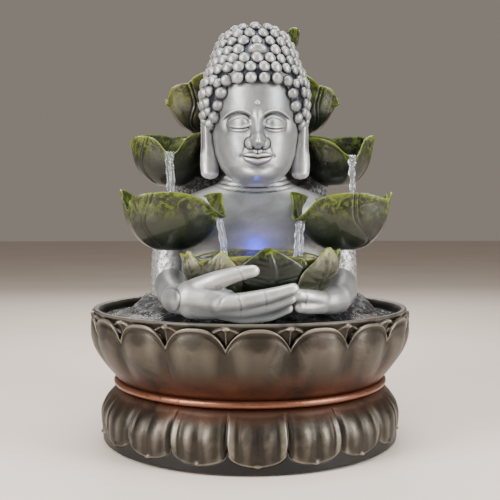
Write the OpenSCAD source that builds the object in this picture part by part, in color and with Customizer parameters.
// Tabletop water fountain: a seated figure holding a leaf bowl above a lotus basin,
// with leaf cups that pass the water down in tiers and a submersible pump behind it.
// Millimetres. +Z up, the front faces -Y, origin at the centre of the base on the table.

/* [Overall] */
// Radius of the basin at its rim
rim_r = 100; // [83:0.5:120]
// Height of the lower lotus base, table to waist
plinth_h = 34.9; // [29:0.1:42]
// Height of the basin, waist ring to rim
basin_h = 44; // [37:0.1:53]
// Width of the figure's body across the arms
body_w = 134; // [112:1:140]
// Depth of the figure's body, front to back
body_d = 66; // [60:1:72]
// Height of the figure's body, seat to the base of the neck
body_h = 80; // [76:1:96]
// Height of the head with its hair, chin to crown
head_h = 103; // [90:1:110]
// Sideways offset of the figure in the basin
figure_x = 3; // [0:0.5:4]

/* [Lotus petals] */
// Petals round the basin and round the base
petals = 18; // [14:2:22]
// How far the waist lies inside the rim
waist_inset = 15.5; // [12:0.5:18]
// How far the basin's belly stands outside the rim
belly_out = 1.8; // [1:0.1:3]
// Depth of the crease between two petals
crease = 2.4; // [1.5:0.1:3]
// Depth of the step from a petal's edge to the petal behind it
petal_step = 3.2; // [2:0.1:4]
// How far the pointed tips between two petals stand out from the rim
tip_out = 3; // [1:0.1:4]

/* [Walls] */
// Wall of the basin
basin_wall = 5; // [4:0.5:6]
// Wall of the lower base
plinth_wall = 4; // [3:0.5:5]
// Wall of the hollow figure
body_wall = 5; // [4:0.5:6]
// Wall of a leaf cup
leaf_wall = 2.6; // [2.2:0.1:3.4]
// Radius of the rubber feet
foot_r = 8; // [6:0.5:10]
// Height of the rubber feet
foot_h = 2.5; // [2:0.1:3]
// Radius of the waist ring's bead
bead_r = 2.3; // [1.8:0.1:2.8]

/* [Pump] */
// Width of the pump
pump_w = 34; // [28:0.2:41]
// Height of the pump
pump_h = 30; // [26:0.5:31]
// Length of the motor housing
motor_len = 26; // [24:0.5:30]
// Length of the impeller chamber
volute_len = 10; // [9:0.5:12]
// Length of the strainer cover
strainer_len = 10; // [8:0.5:12]
// Height of the suction cups
cup_h = 4; // [3:0.5:5]
// Outer radius of the riser tube
riser_r = 4; // [3.3:0.1:4.8]
// Wall of the riser tube
riser_wall = 1; // [0.8:0.1:1.2]
// Radius of the rotor magnet
rotor_r = 6.6; // [5.5:0.1:8]
// Radius of the ceramic shaft
shaft_r = 1.25; // [1:0.05:1.5]
// Radius of the hole for the supply lead
lead_hole_r = 2.2; // [1.8:0.1:2.7]

/* [Clearances] */
// Gap between parts that drop into each other
drop_gap = 0.5; // [0.3:0.1:0.8]
// Gap between the rock mound and the basin wall
mound_gap = 1.5; // [1:0.1:2.5]
// Running clearance of the rotor on its shaft
run_gap = 0.05; // [0.03:0.01:0.08]

/* [Hidden] */
$fn = 48;
pitch = 360 / petals;      // angle of one petal
steps = 6;                 // facets to a petal
around = 48;               // facets round a cast body
bond = 1.5;                // depth that bonded castings sink into each other
e = 0.01;                  // overlap that makes a cut run clean through

// Levels, from the table up
plinth_z0 = foot_h - 1.5;                    // underside of the base, just off the table
ring_z = plinth_h + bead_r;                  // centre of the bead
basin_z0 = plinth_h + 2 * bead_r;            // underside of the basin's belly
rim_z = plinth_h + 2 * bead_r + basin_h;
floor_z = basin_z0 + basin_wall - 1;         // inside floor of the basin
floor_round = 5;                             // rounding between the basin's floor and its wall
wall_levels = [0.12, 0.35, 0.6];             // places up the basin's inside, from floor to rim
seat_z = rim_z + 2.5;                        // where the figure's body stands
neck_z = seat_z + body_h;
chin_z = neck_z - 4;

// Radii of the lotus base
waist_r = rim_r - waist_inset;
belly_r = rim_r + belly_out;
belly_z = basin_z0 + 0.7 * basin_h;
foot_ring_r = rim_r - 6;
shoulder_r = rim_r - 3.5;
petal_peak_z = rim_z - 3;                    // top of a basin petal
petal_notch_z = rim_z - 13.5;                // bottom of the notch between two petals
plate_r = foot_ring_r - 3.5;
plate_h = 3;
plate_z = foot_h;
boss_turn = 45;
boss_place_r = plate_r - 20;
screw_r = 1.5;

// Grommet for the supply lead, in a notch at the back of the rim
grommet_r = 2 * lead_hole_r + 0.3;
grommet_z = rim_z - lead_hole_r - 1.7;
grommet_len = basin_wall + 4.4;
grommet_y = rim_r + 1.6 - grommet_len;       // its inner end

// Pump and riser, set from the basin's back wall forwards
pump_z = floor_z + cup_h;
axis_z = pump_z + pump_h / 2;
pump_x = figure_x;
pump_back_y = sqrt(pow(basin_inside(pump_z), 2) - pow(pump_w / 2 + pump_x, 2)) - 6;
motor_y = pump_back_y - motor_len;           // front face of the motor housing
volute_y = motor_y - volute_len;
strainer_y = volute_y - strainer_len;
riser_y = volute_y + volute_len / 2;
nozzle_z = pump_z + pump_h;
bay_w = pump_w + 18;                         // opening in the mound behind the pump
bay_y = riser_y + 9.5;
well_r = rotor_r + 1;                        // bore that the rotor turns in
well_wall = 0.9;
stator_r = well_r + well_wall + 0.3;

// The figure stands in front of the riser
body_y = riser_y - body_d / 2 - 10;
bx = body_w / 2;
by = body_d / 2;
head_y = body_y - 5;
level = head_h / 103;                        // height of the head's sections against the drawn ones
leaf_top_z = chin_z + head_h + 6;

// Leaf cups: centre of the rim, half length, half width, depth
lower_leaf = [bx - 15, body_y - by - 3, seat_z + 0.81 * body_h, 30, 24, 31];
middle_leaf = [bx - 12, body_y + 9, neck_z + 25, 24.5, 21, 31];
upper_leaf = [43, riser_y - 12, neck_z + 62, 17, 15, 30];
bowl_rx = 46;
bowl_ry = 27;
bowl_depth = 33;
bowl_y = body_y - by - bowl_ry + 3;
bowl_z = seat_z + 35;
led_y = bowl_y + 15;
led_z = bowl_z - 20;                         // seat of the lamp in the bowl

// Places that the lamp's lead runs through, from the lamp back to the pump
lead_r = 1.1;
lead_route = [
    [figure_x, led_y + 5, led_z + 4], [figure_x, led_y + 11, led_z + 4], [figure_x, led_y + 19, led_z + 3.5],
    [figure_x, led_y + 27, led_z], [figure_x - 1, led_y + 34, led_z - 6], [figure_x - 3, led_y + 39, led_z - 14],
    [figure_x - 6, led_y + 43, led_z - 22], [figure_x - 11, led_y + 48, led_z - 29],
    [pump_x - pump_w / 2 - 4, strainer_y - 10, axis_z + 8], [pump_x - pump_w / 2 - 6, strainer_y - 1, axis_z + 3],
    [pump_x - pump_w / 2 - 5, volute_y - 1, axis_z], [pump_x - pump_w / 2 - 4, motor_y - 1, axis_z],
    [pump_x - pump_w / 2 - 3.6, motor_y + 4, axis_z], [pump_x - pump_w / 2 - 2.4, motor_y + 6.5, axis_z],
    [pump_x - pump_w / 2 + 0.2, motor_y + 7.4, axis_z]
];

function mix(a, b, t) = a + (b - a) * t;
function polar(r, a, z) = [r * sin(a), -r * cos(a), z];
function turn_from(a, b) = abs((a - b + 540) % 360 - 180);
function bell(a, b, width) = exp(-pow(turn_from(a, b) / width, 2));
// Place across a petal at angle a: 0 at its middle, -1 and 1 at its two notches
function across(a) = 2 * (a / pitch + 0.5 - floor(a / pitch + 0.5)) - 1;
function arch(a) = sqrt(max(0, 1 - pow(across(a), 2)));
// Outline of the basin, waist to petal tops, and of the base, waist to foot
function basin_outside(z) =
    z < belly_z ? waist_r + (belly_r - waist_r) * sin(90 * (z - basin_z0) / (belly_z - basin_z0)) : belly_r;
function basin_inside(z) = min(basin_outside(z) - basin_wall, rim_r - basin_wall + 0.5);
function plinth_outside(z) = waist_r - 0.5 + (shoulder_r - waist_r + 0.5)
    * pow(sin(90 * min(1, (plinth_h - z) / (0.55 * plinth_h))), 0.7);
// Height of a petal's edge: basin petals arch up, base petals hang down
function basin_edge(a) = mix(petal_notch_z, petal_peak_z, arch(a));
function plinth_edge(a) = mix(plinth_z0 + 12.5, plinth_z0 + 4, arch(a));
function oval(hw, hd, cx, cy, z, a, p = 0.8) = [
    cx + hw * sign(sin(a)) * pow(abs(sin(a)), p),
    cy - hd * sign(cos(a)) * pow(abs(cos(a)), p),
    z
];
function oval_ring(hw, front, back, cx, z, n, p = 0.8) =
    [for (i = [0:n - 1]) oval(hw, (back - front) / 2, cx, (front + back) / 2, z, 360 * i / n, p)];
function middle_of(ring) = let (n = len(ring)) [for (k = [0:2]) [for (q = ring) q[k]] * [for (q = ring) 1] / n];

// A closed skin over a stack of rings. The first and last ring are closed to their middle.
module skin(rings) {
    n = len(rings);
    m = len(rings[0]);
    points = concat([for (r = rings) each r], [middle_of(rings[0]), middle_of(rings[n - 1])]);
    faces = concat(
        [for (i = [0:n - 2], j = [0:m - 1]) let (k = (j + 1) % m) [i * m + j, (i + 1) * m + j, (i + 1) * m + k]],
        [for (i = [0:n - 2], j = [0:m - 1]) let (k = (j + 1) % m) [i * m + j, (i + 1) * m + k, i * m + k]],
        [for (j = [0:m - 1]) [n * m, j, (j + 1) % m]],
        [for (j = [0:m - 1]) [n * m + 1, (n - 1) * m + (j + 1) % m, (n - 1) * m + j]]
    );
    polyhedron(points, faces);
}

module limb(a, b, ra, rb) {
    hull() {
        translate(a) sphere(r = ra, $fn = 12);
        translate(b) sphere(r = rb, $fn = 12);
    }
}

// ---- Lotus base ----

module plinth_shell() {
    n = petals * steps;
    inside_r = foot_ring_r - 8;
    top_in = plinth_h - plinth_wall;
    function ring(r, z) = [for (i = [0:n - 1]) polar(r, 360 * i / n, z)];
    function petal(t) = [for (i = [0:n - 1]) let (a = 360 * i / n, z = mix(plinth_edge(a), plinth_h, t))
        polar(plinth_outside(z) - crease * pow(abs(across(a)), 3) * (1 - t), a, z)];
    rings = concat(
        [ring(inside_r / 2, top_in), ring(waist_r - plinth_wall - 2, top_in), ring(inside_r, 0.6 * plinth_h),
         ring(inside_r, plate_z + plate_h), ring(plate_r + drop_gap, plate_z + plate_h),
         ring(plate_r + drop_gap, plinth_z0), ring(foot_ring_r, plinth_z0)],
        [[for (i = [0:n - 1]) polar(foot_ring_r + 0.3 - 2 * pow(abs(across(360 * i / n)), 2), 360 * i / n,
            plinth_edge(360 * i / n))]],
        [for (t = [0, 0.15, 0.35, 0.55, 0.75, 0.9]) petal(t)],
        [ring(waist_r - 0.5, plinth_h), ring(waist_r / 2, plinth_h)]
    );
    color([0.36, 0.30, 0.25]) difference() {
        union() {
            skin(rings);
            for (k = [0:3]) rotate([0, 0, boss_turn + 90 * k])
                translate([boss_place_r, 0, plate_z + plate_h]) cylinder(r = 5, h = top_in + 2 - plate_z - plate_h);
        }
        for (k = [0:3]) rotate([0, 0, boss_turn + 90 * k])
            translate([boss_place_r, 0, plate_z + plate_h - e]) cylinder(r = screw_r + 0.1, h = 14);
    }
}

module bottom_plate() {
    color([0.16, 0.15, 0.15]) difference() {
        translate([0, 0, plate_z]) cylinder(r = plate_r, h = plate_h);
        for (k = [0:3]) rotate([0, 0, boss_turn + 90 * k])
            translate([boss_place_r, 0, plate_z - e]) cylinder(r = screw_r + 0.3, h = plate_h + 2 * e);
    }
}

module rubber_feet() {
    color([0.08, 0.08, 0.08]) for (k = [0:3]) rotate([0, 0, 90 * k]) translate([plate_r - 12, 0, 0])
        cylinder(r = foot_r, h = foot_h);
}

module plate_screws() {
    color([0.7, 0.7, 0.72]) for (k = [0:3]) rotate([0, 0, boss_turn + 90 * k])
        translate([boss_place_r, 0, 0]) difference() {
            union() {
                translate([0, 0, plate_z - 1.5]) cylinder(r = 3.2, h = 1.5);
                translate([0, 0, plate_z]) cylinder(r = screw_r, h = plate_h + 11);
            }
            translate([0, 0, plate_z - 1.5]) for (q = [0, 90]) rotate([0, 0, q])
                cube([3.4, 0.8, 1.6], center = true);
        }
}

module waist_ring() {
    neck_r = waist_r - 1.2;
    color([0.62, 0.36, 0.26]) rotate_extrude($fn = 96) {
        translate([neck_r + drop_gap / 5 + bead_r, ring_z]) circle(r = bead_r, $fn = 32);
        translate([neck_r + drop_gap / 5, ring_z - bead_r]) square([bead_r, 2 * bead_r]);
    }
}

module basin_bowl() {
    n = petals * steps;
    lip = 3.2;
    function ring(r, z) = [for (i = [0:n - 1]) polar(r, 360 * i / n, z)];
    function petal(t) = [for (i = [0:n - 1])
        let (a = 360 * i / n, z = mix(basin_z0, basin_edge(a), t), c = pow(abs(across(a)), 3) * crease)
        polar(basin_outside(z) - c * min(1, 1.3 * t), a, z)];
    tips = [for (i = [0:n - 1]) let (a = 360 * i / n, tip = max(0, 1 - steps / 2 * (1 - abs(across(a)))))
        polar(rim_r - 0.3 + tip_out * tip, a, rim_z - 1.4)];
    in_z = [rim_z - 5, for (i = [2:-1:0]) mix(floor_z, rim_z, wall_levels[i])];
    rings = concat(
        [ring(waist_r / 2, plinth_h), ring(waist_r - 1.2, plinth_h), ring(waist_r - 1.2, basin_z0)],
        [for (t = [0, 0.15, 0.35, 0.58, 0.8, 1]) petal(t)],
        [[for (i = [0:n - 1]) let (a = 360 * i / n) polar(belly_r - crease - petal_step, a, basin_edge(a))]],
        [tips, ring(rim_r - 0.9, rim_z), ring(rim_r - lip, rim_z)],
        [for (z = in_z) ring(basin_inside(z), z)],
        [ring(basin_inside(floor_z) - floor_round, floor_z), ring(waist_r / 2, floor_z)]
    );
    color([0.34, 0.28, 0.24]) difference() {
        skin(rings);
        translate([0, rim_r - 20, grommet_z]) rotate([-90, 0, 0]) cylinder(r = grommet_r, h = 30);
        translate([-grommet_r, rim_r - 20, grommet_z]) cube([2 * grommet_r, 30, 20]);
    }
}

module lead_grommet() {
    body_r = grommet_r - drop_gap / 5;
    color([0.07, 0.07, 0.07]) difference() {
        intersection() {
            union() {
                translate([0, grommet_y, grommet_z]) rotate([-90, 0, 0]) cylinder(r = body_r, h = grommet_len);
                translate([-body_r, grommet_y, grommet_z]) cube([2 * body_r, grommet_len, 10]);
            }
            translate([-10, rim_r - 20, grommet_z - 10]) cube([20, 40, 10 + rim_z - grommet_z]);
        }
        translate([0, rim_r - 30, grommet_z]) rotate([-90, 0, 0]) cylinder(r = lead_hole_r, h = 50);
    }
}

// ---- Rock ----

// Level of the rock deck: under water in front, near the rim at the sides, low at the back
function deck_z(a) = rim_z - 6.5 - 7.5 * bell(a, 0, 45) - 6 * bell(a, 180, 50);
function body_edge(grow, z, a) = oval(bx + grow, by + grow, figure_x, body_y, z, a);

module rock_mound() {
    function wall(z, inset) = [for (i = [0:around - 1]) polar(basin_inside(z) - mound_gap - inset, 360 * i / around, z)];
    function deck(inset, up) = [for (i = [0:around - 1]) let (a = 360 * i / around)
        polar(basin_inside(deck_z(a) + up) - mound_gap - inset, a, deck_z(a) + up)];
    function at_body(grow, z) = [for (i = [0:around - 1]) body_edge(grow, z, 360 * i / around)];
    function slope(t, up) = [for (i = [0:around - 1]) let (a = 360 * i / around)
        mix(polar(basin_inside(deck_z(a)) - mound_gap - 4, a, deck_z(a)), body_edge(3, seat_z + 4, a), t) + [0, 0, up]];
    rings = concat(
        [at_body(-9, seat_z - 5), wall(mix(floor_z, seat_z, 0.45), 13), wall(floor_z, floor_round + 7),
         wall(floor_z, floor_round)],
        [for (t = wall_levels) wall(mix(floor_z, rim_z, t), 0)],
        [deck(0, -3), deck(3, 0), slope(0.5, -2.5), slope(0.8, -1), at_body(2.5, seat_z + 5),
         at_body(drop_gap, seat_z + 6), at_body(drop_gap, seat_z), at_body(-9, seat_z)]
    );
    color([0.33, 0.33, 0.34]) difference() {
        skin(rings);
        translate([pump_x - bay_w / 2, bay_y, floor_z - 1]) cube([bay_w, 80, 80]);
        translate([pump_x - bay_w / 2, strainer_y - 20, floor_z - 1])
            cube([bay_w, bay_y - strainer_y + 21, pump_h + cup_h + 2]);
        translate([figure_x, body_y, floor_z]) cylinder(r = 18, h = seat_z);
        translate([pump_x, riser_y, floor_z]) cylinder(r = riser_r + drop_gap, h = seat_z);
    }
}

module rock_backdrop() {
    front = body_y + by + drop_gap;
    back = riser_y + 9;
    sections = [
        [seat_z - 6, bx - 23, front + 0.5, back - 1], [seat_z + 14, bx - 19, front, back],
        [seat_z + 0.6 * body_h, bx - 16, front - 3, back], [neck_z - 8, bx - 13, front - 14, back],
        [neck_z + 14, bx - 15, front - 16, back - 1], [neck_z + 30, bx - 24, front - 12, back - 1],
        [neck_z + 44, bx - 32, front - 5, back - 2],
        [leaf_top_z - 43, bx - 41, front - 3, back - 3], [leaf_top_z - 26, bx - 48, front - 1, back - 3]
    ];
    color([0.2, 0.2, 0.21]) difference() {
        skin([for (s = sections) oval_ring(s[1], s[2], s[3], figure_x, s[0], 24)]);
        hair_form(bond);
        translate([pump_x, riser_y, seat_z - 20]) cylinder(r = riser_r + drop_gap / 2, h = 300);
    }
}

// Lift-off rock cover over the pump, arched at the foot to let the water in
module pump_cover() {
    w = bay_w - 2 * drop_gap;
    wall = 3;
    front = bay_y + drop_gap;
    top = seat_z + 2;
    foot = basin_inside(floor_z) - floor_round - mound_gap;
    arch_h = 7;                                  // water inlet under the back wall
    function back(z) = min(basin_inside(z) - mound_gap, grommet_y - drop_gap);
    module block(inset, z0, z1) {
        intersection() {
            translate([pump_x - w / 2 + inset, front, z0]) cube([w - 2 * inset, 60, z1 - z0]);
            rotate_extrude($fn = 96) polygon(concat([[0, floor_z - 3], [foot - inset, floor_z - 3], [foot - inset, floor_z]],
                [for (t = wall_levels) let (z = mix(floor_z, rim_z, t)) [back(z) - inset, z]],
                [[back(z1) - 6 - inset, z1], [0, z1]]));
        }
    }
    color([0.3, 0.3, 0.31]) difference() {
        block(0, floor_z + 0.2, top);
        difference() {
            block(wall, floor_z - 2, top - wall);
            translate([0, 0, top - wall]) cube([300, 300, 10], center = true);
        }
        translate([pump_x - w / 2 + wall, front - 1, floor_z - 2]) cube([w - 2 * wall, 3, top - wall - floor_z + 2]);
        translate([pump_x - w / 2 + 6, front + 8, floor_z - 1]) cube([w - 12, 60, arch_h + 1]);
        translate([pump_x, front + 16, top - 6]) cylinder(r = 5, h = 10);
    }
}

// ---- Figure ----

module figure_torso() {
    // height over the seat, width inset, depth inset
    outside = [[0, 0, 0], [7, 0, 0], [0.25 * body_h, 0.5, 0.5], [0.5 * body_h, 1, 2], [0.66 * body_h, 4, 5],
        [0.78 * body_h, 10, 8], [0.87 * body_h, 23, 12], [0.94 * body_h, 39, 15], [body_h, 46, 17]];
    inside = [[0.7 * body_h, 24, 14], [0.6 * body_h, 9, 9], [0.4 * body_h, 2, 3], [0, 1, 1]];
    function ring(s, grow) = oval_ring(bx - s[1] + grow, body_y - by + s[2] - grow, body_y + by - s[2] + grow,
        figure_x, seat_z + s[0], around);
    color([0.62, 0.64, 0.66]) difference() {
        skin(concat([for (s = inside) ring(s, -body_wall)], [for (s = outside) ring(s, 0)]));
        translate([figure_x, body_y - by - 5, led_z + 4]) rotate([-90, 0, 0]) cylinder(r = lead_r + 0.6, h = 20);
    }
}

// The cut between face and hair, from the hairline down to the nape
module hair_side(above) {
    hairline = chin_z + 59 * level;
    nape = chin_z + 10 * level;
    a = atan2(hairline - nape, 66);
    translate([figure_x, head_y - 33, hairline]) rotate([-a, 0, 0])
        translate([-80, -60, above ? 0.05 : -200]) cube([160, 200, 200]);
}

module figure_head() {
    // height over the chin, half width, front, back
    sections = [[0, 9, -28, -10], [3, 15, -33, -4], [9, 21.5, -36, 8], [18, 25, -36.5, 20], [30, 27, -36.5, 28],
        [44, 27.8, -36, 32], [56, 27.5, -34.5, 33], [66, 25.5, -30, 31], [76, 19, -20, 24], [82, 9, -8, 12]];
    color([0.68, 0.69, 0.68]) {
        intersection() {
            skin([for (s = sections) oval_ring(s[1], head_y + s[2], head_y + s[3], figure_x,
                chin_z + s[0] * level, 32, 0.9)]);
            hair_side(false);
        }
        for (side = [-1, 1]) hull() {
            translate([figure_x + side * 29, head_y - 2, chin_z + 38 * level]) sphere(r = 5.5, $fn = 12);
            translate([figure_x + side * 33.5, head_y - 1, chin_z + 34 * level]) sphere(r = 3.2, $fn = 12);
            translate([figure_x + side * 30.5, head_y - 5, chin_z + 9 * level]) sphere(r = 4.6, $fn = 12);
        }
        hull() {
            translate([figure_x, head_y - 35, chin_z + 40 * level]) sphere(r = 2.4, $fn = 12);
            translate([figure_x, head_y - 39, chin_z + 23 * level]) sphere(r = 3.4, $fn = 12);
        }
    }
}

// The whole form of the hair; the rock behind it is hollowed with the same form, a little smaller
module hair_form(inset) {
    sections = [[8, 26, -30, 30], [20, 31.5, -34, 35], [40, 34.5, -37, 38], [54, 35.7, -38, 39], [61, 35, -37.5, 38],
        [70.5, 32.5, -34, 36], [80, 28.6, -29, 32], [87, 25.5, -25, 28], [93, 22, -21, 24], [99.7, 15.5, -14, 17],
        [103, 8, -6, 9]];
    skin([for (s = sections) oval_ring(s[1] - inset, head_y + s[2] + inset, head_y + s[3] - inset, figure_x,
        chin_z + s[0] * level, 32, 0.95)]);
}

module hair_cap() {
    color([0.62, 0.62, 0.6]) intersection() {
        hair_form(0);
        hair_side(true);
    }
}

module right_hand() {
    x = figure_x;
    y = bowl_y;
    z = seat_z;
    color([0.6, 0.63, 0.65]) {
        limb([x - 53, body_y - by + 12, z + 12], [x - 47, y - 7, z + 8], 11, 9);    // forearm
        limb([x - 47, y - 7, z + 8], [x - 36, y - 17, z + 9], 9, 9.5);               // wrist
        limb([x - 36, y - 17, z + 9], [x - 18, y - 23, z + 7], 11, 9);              // palm
        limb([x - 26, y - 21, z + 14], [x, y - 28, z + 24], 6, 4.6);                // thumb
        limb([x - 14, y - 27, z + 9], [x + 18, y - 28, z + 16], 4.8, 4);            // first finger
        limb([x - 14, y - 26, z + 3], [x + 15, y - 27, z + 9], 4.6, 3.8);           // second finger
        limb([x - 16, y - 24, z - 2.5], [x + 12, y - 25, z + 2.5], 4.4, 3.6);       // third finger
    }
}

module left_hand() {
    x = figure_x;
    y = bowl_y;
    z = seat_z;
    color([0.6, 0.63, 0.65]) {
        limb([x + 53, body_y - by + 12, z + 12], [x + 46, y + 1, z + 6], 11, 9);    // forearm
        limb([x + 46, y + 1, z + 6], [x + 34, y - 12, z + 5], 9, 7.5);               // palm
        limb([x + 34, y - 13, z + 7], [x + 23, y - 20, z + 10], 5.2, 4.2);           // fingertips
    }
}

// ---- Leaf cups ----

// A cup of leaf with a pouring lip at the angle lip_a and a scalloped edge
module leaf_cup(rx, ry, depth, lip_a, lip_out, lip_dip, waves, wave_h) {
    m = 24;
    function place(s, a, inset) =
        let (lip = bell(a, lip_a, 24) * pow(s, 3), g = pow(sin(90 * s), 0.8))
        [(rx - inset) * g * (1 + lip * lip_out / rx) * sin(a), -(ry - inset) * g * (1 + lip * lip_out / ry) * cos(a),
         -(depth - inset) * cos(90 * s) + pow(s, 4) * wave_h * cos(waves * (a - lip_a)) - lip * lip_dip];
    function ring(s, inset) = [for (i = [0:m - 1]) place(s, 360 * i / m, inset)];
    skin(concat([for (s = [0.2, 0.42, 0.65, 0.85, 1]) ring(s, 0)],
        [for (s = [1, 0.82, 0.6, 0.4, 0.2]) ring(s, leaf_wall)]));
}

module top_leaf() {
    color([0.12, 0.2, 0.08]) difference() {
        translate([figure_x + 6, riser_y, leaf_top_z]) leaf_cup(30, 22, 30, 180, 4, 3, 4, 1.6);
        translate([pump_x, riser_y, leaf_top_z - 40]) cylinder(r = riser_r + drop_gap / 2, h = 30);
    }
}

module upper_leaf(side) {
    color([0.2, 0.24, 0.12]) translate([figure_x + side * upper_leaf[0], upper_leaf[1], upper_leaf[2]])
        rotate([0, side * 16, 0]) leaf_cup(upper_leaf[3], upper_leaf[4], upper_leaf[5], side * 62, 4, 6, 3, 1.5);
}

module middle_leaf(side) {
    color([0.16, 0.18, 0.12]) translate([figure_x + side * middle_leaf[0], middle_leaf[1], middle_leaf[2]])
        leaf_cup(middle_leaf[3], middle_leaf[4], middle_leaf[5], side * -8, 3, 6, 4, 1.4);
}

module lower_leaf(side) {
    color([0.14, 0.2, 0.1]) translate([figure_x + side * lower_leaf[0], lower_leaf[1], lower_leaf[2]])
        leaf_cup(lower_leaf[3], lower_leaf[4], lower_leaf[5], side * -58, 5, 7, 3, 1.5);
}

module centre_leaf_bowl() {
    color([0.24, 0.28, 0.14]) difference() {
        union() {
            translate([figure_x, bowl_y, bowl_z]) leaf_cup(bowl_rx, bowl_ry, bowl_depth, 20, 1, 2, 6, 2);
            translate([figure_x, led_y, led_z - 4.5]) cylinder(r = 6, h = 4.5);
        }
        translate([figure_x, led_y, led_z]) cylinder(r = 5 + drop_gap / 5, h = 30);
        translate([figure_x, led_y, led_z + 4]) rotate([-90, 0, 0]) cylinder(r = lead_r + 0.6, h = 20);
    }
}

// ---- Pump ----

// Points a part along +Y from y, on the pump's axis
module on_axis(y) {
    translate([pump_x, y, axis_z]) rotate([-90, 0, 0]) children();
}

module pump_housing() {
    cell = stator_r + 3.6;
    color([0.09, 0.09, 0.1]) difference() {
        translate([pump_x - pump_w / 2, motor_y, pump_z]) cube([pump_w, motor_len, pump_h]);
        difference() {
            translate([pump_x - cell, motor_y + 4, axis_z - cell]) cube([2 * cell, motor_len - 8, 2 * cell]);
            on_axis(motor_y) cylinder(r = well_r + well_wall, h = motor_len);
        }
        on_axis(motor_y - e) cylinder(r = well_r, h = motor_len - 3);
        on_axis(motor_y + motor_len - 4) cylinder(r = shaft_r + 1, h = 2.5);
        translate([pump_x + 9, motor_y + motor_len - 5, pump_z + pump_h - 6]) rotate([-90, 0, 0])
            cylinder(r = 2.6, h = 6);
        translate([pump_x - pump_w / 2 - 1, motor_y + 7.4, axis_z]) rotate([0, 90, 0])
            cylinder(r = lead_r + 0.5, h = 3);
    }
}

module stator_core() {
    half = stator_r + 3.3;
    color([0.5, 0.33, 0.2]) difference() {
        translate([pump_x - half, motor_y + 5, axis_z - half]) cube([2 * half, motor_len - 10, 2 * half]);
        on_axis(motor_y) cylinder(r = stator_r, h = motor_len);
    }
}

module rotor_shaft() {
    color([0.92, 0.92, 0.9]) on_axis(motor_y - volute_len + 2.6) cylinder(r = shaft_r, h = motor_len + volute_len - 5);
}

module shaft_bushes() {
    color([0.1, 0.1, 0.1]) {
        on_axis(motor_y - volute_len + 2.2) difference() {
            cylinder(r = shaft_r + 1, h = 2.3);
            translate([0, 0, 0.4]) cylinder(r = shaft_r, h = 3);
        }
        on_axis(motor_y + motor_len - 4.6) difference() {
            cylinder(r = shaft_r + 1, h = 2.8);
            translate([0, 0, -e]) cylinder(r = shaft_r, h = 2.2 + e);
        }
    }
}

module rotor_magnet() {
    color([0.2, 0.2, 0.22]) on_axis(motor_y + 1.2) difference() {
        cylinder(r = rotor_r, h = motor_len - 6.6);
        translate([0, 0, -e]) cylinder(r = shaft_r + run_gap, h = motor_len);
    }
}

module impeller() {
    blade_r = min(rotor_r + 2, pump_h / 2 - 4.5);
    color([0.85, 0.85, 0.83]) on_axis(motor_y - 4.8) difference() {
        union() {
            cylinder(r = shaft_r + 1.4, h = 6);
            translate([0, 0, 4.2]) cylinder(r = rotor_r, h = 1.8);
            for (k = [0:5]) rotate([0, 0, 60 * k]) translate([0, -0.5, 0]) cube([blade_r, 1, 4.4]);
        }
        translate([0, 0, -e]) cylinder(r = shaft_r + run_gap, h = motor_len);
    }
}

module volute_cover() {
    chamber_r = min(rotor_r + 3.4, pump_h / 2 - 3);
    nozzle_r = riser_r - riser_wall - run_gap;
    color([0.12, 0.12, 0.13]) difference() {
        union() {
            translate([pump_x - pump_w / 2 + 1, volute_y, pump_z + 1]) cube([pump_w - 2, volute_len, pump_h - 2]);
            translate([pump_x, riser_y, axis_z + 3]) cylinder(r = nozzle_r, h = nozzle_z + 9 - axis_z - 3);
        }
        on_axis(volute_y + 3.4) cylinder(r = chamber_r, h = volute_len);
        on_axis(volute_y - 1) difference() {
            cylinder(r = chamber_r - 3, h = volute_len);
            cylinder(r = shaft_r + 2.2, h = volute_len);
            for (q = [0, 90]) rotate([0, 0, q]) translate([-10, -0.8, 0]) cube([20, 1.6, volute_len]);
        }
        on_axis(volute_y + 2.1) cylinder(r = shaft_r + 1 + e, h = volute_len);
        translate([pump_x, riser_y, axis_z + 2]) cylinder(r = nozzle_r - 0.9, h = 60);
        on_axis(motor_y - 1.4) difference() {
            cylinder(r = chamber_r + 2.5, h = 3);
            cylinder(r = chamber_r + 1, h = 3);
        }
    }
}

module volute_seal() {
    chamber_r = min(rotor_r + 3.4, pump_h / 2 - 3);
    color([0.75, 0.2, 0.12]) on_axis(motor_y - 1.35) difference() {
        cylinder(r = chamber_r + 2.4, h = 1.3);
        translate([0, 0, -e]) cylinder(r = chamber_r + 1.1, h = 2);
    }
}

module strainer_cover() {
    wall = 1.6;
    color([0.1, 0.1, 0.11]) difference() {
        translate([pump_x - pump_w / 2, strainer_y, pump_z]) cube([pump_w, strainer_len - 0.2, pump_h]);
        translate([pump_x - pump_w / 2 + wall, strainer_y + wall, pump_z + wall])
            cube([pump_w - 2 * wall, strainer_len, pump_h - 2 * wall]);
        for (side = [-1, 1], k = [-3:3]) translate([pump_x + side * (pump_w / 2 - 4.2) - 1.6, strainer_y - 1,
            axis_z + 3.4 * k - 0.8]) cube([3.2, 4, 1.6]);
        on_axis(strainer_y - 1) cylinder(r = 2.6, h = 4);
        for (q = [0:5]) on_axis(strainer_y - 1) rotate([0, 0, 60 * q + 30]) translate([5, 0, 0])
            cylinder(r = 1.1, h = 4);
    }
}

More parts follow.
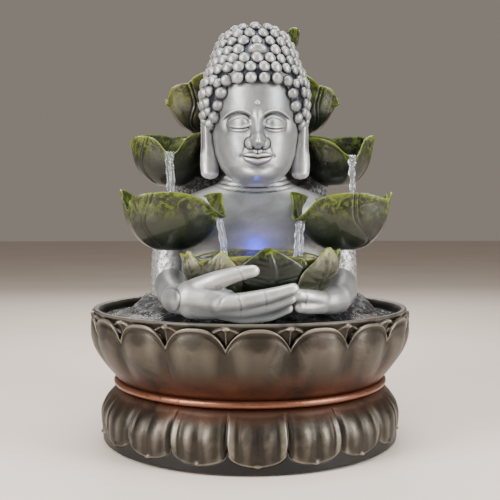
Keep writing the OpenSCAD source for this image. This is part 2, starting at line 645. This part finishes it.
// Turning disc that closes the holes in the strainer to set the flow
module flow_dial() {
    color([0.8, 0.3, 0.1]) on_axis(strainer_y - 2.2) difference() {
        union() {
            cylinder(r = 7, h = 2);
            translate([0, 0, -2.4]) intersection() {
                cylinder(r = 6.4, h = 3);
                translate([-6.5, -1, 0]) cube([13, 2, 3]);
            }
            cylinder(r = 2.5, h = 4.6);
            translate([0, 0, 4.4]) cylinder(r = 3.3, h = 0.9);
        }
        for (q = [0:5]) rotate([0, 0, 60 * q + 30]) translate([5, 0, -e]) cylinder(r = 1.1, h = 2.4);
    }
}

module suction_cups() {
    color([0.75, 0.76, 0.78]) for (sx = [-1, 1], y = [motor_y + 5, motor_y + motor_len - 9])
        translate([pump_x + sx * (pump_w / 2 - 6), y, floor_z + 0.02]) difference() {
            union() {
                cylinder(r1 = 4.6, r2 = 2, h = cup_h * 0.6);
                cylinder(r = 2, h = cup_h - 0.04);
            }
            translate([0, 0, -e]) cylinder(r1 = 3.6, r2 = 0.6, h = cup_h * 0.4);
        }
}

module supply_gland() {
    color([0.06, 0.06, 0.06]) translate([pump_x + 9, motor_y + motor_len - 4.9, pump_z + pump_h - 6])
        rotate([-90, 0, 0]) difference() {
            union() {
                cylinder(r = 2.5, h = 5);
                translate([0, 0, 4.9 + e]) cylinder(r1 = 3.2, r2 = 2.7, h = 3);
            }
            translate([0, 0, 2]) cylinder(r = lead_hole_r - 0.1, h = 8);
        }
}

module riser_tube() {
    color([0.85, 0.88, 0.9]) translate([pump_x, riser_y, nozzle_z + 0.5]) difference() {
        cylinder(r = riser_r, h = leaf_top_z - 18 - nozzle_z - 0.5);
        translate([0, 0, -e]) cylinder(r = riser_r - riser_wall, h = 300);
    }
}

// ---- Lamp ----

module led_housing() {
    color([0.15, 0.15, 0.16]) translate([figure_x, led_y, led_z]) difference() {
        cylinder(r = 5, h = 13);
        translate([0, 0, 7]) cylinder(r = 4, h = 7);
    }
}

module led_board() {
    color([0.1, 0.35, 0.15]) translate([figure_x, led_y, led_z + 7 + e]) {
        cylinder(r = 3.9, h = 1);
        translate([-1.2, -1.2, 0.9]) cube([2.4, 2.4, 1]);
    }
}

module led_lens() {
    color([0.6, 0.75, 0.95, 0.6]) translate([figure_x, led_y, led_z + 10]) {
        cylinder(r = 3.9, h = 3.01);
        translate([0, 0, 3.01]) cylinder(r = 5, h = 1);
        translate([0, 0, 4]) cylinder(r1 = 4.6, r2 = 3, h = 1.6);
    }
}

// A round lead swept along the route: each ring lies across the line between its neighbours
module led_lead() {
    n = len(lead_route);
    sides = 8;
    function dir(i) = let (d = lead_route[min(n - 1, i + 1)] - lead_route[max(0, i - 1)]) d / norm(d);
    function ring(i) = let (t = dir(i), side = cross(t, [1, 0, 0.2]), u = side / norm(side), v = cross(t, u))
        [for (k = [0:sides - 1]) lead_route[i] + lead_r * (u * cos(360 * k / sides) + v * sin(360 * k / sides))];
    color([0.05, 0.05, 0.05]) skin([for (i = [0:n - 1]) ring(i)]);
}

plinth_shell();
bottom_plate();
rubber_feet();
plate_screws();
waist_ring();
basin_bowl();
lead_grommet();
rock_mound();
rock_backdrop();
pump_cover();
figure_torso();
figure_head();
hair_cap();
right_hand();
left_hand();
top_leaf();
upper_leaf(-1);  // upper_leaf_left
upper_leaf(1);  // upper_leaf_right
middle_leaf(-1);  // middle_leaf_left
middle_leaf(1);  // middle_leaf_right
lower_leaf(-1);  // lower_leaf_left
lower_leaf(1);  // lower_leaf_right
centre_leaf_bowl();
pump_housing();
stator_core();
rotor_shaft();
shaft_bushes();
rotor_magnet();
impeller();
volute_cover();
volute_seal();
strainer_cover();
flow_dial();
suction_cups();
supply_gland();
riser_tube();
led_housing();
led_lens();
led_board();
led_lead();
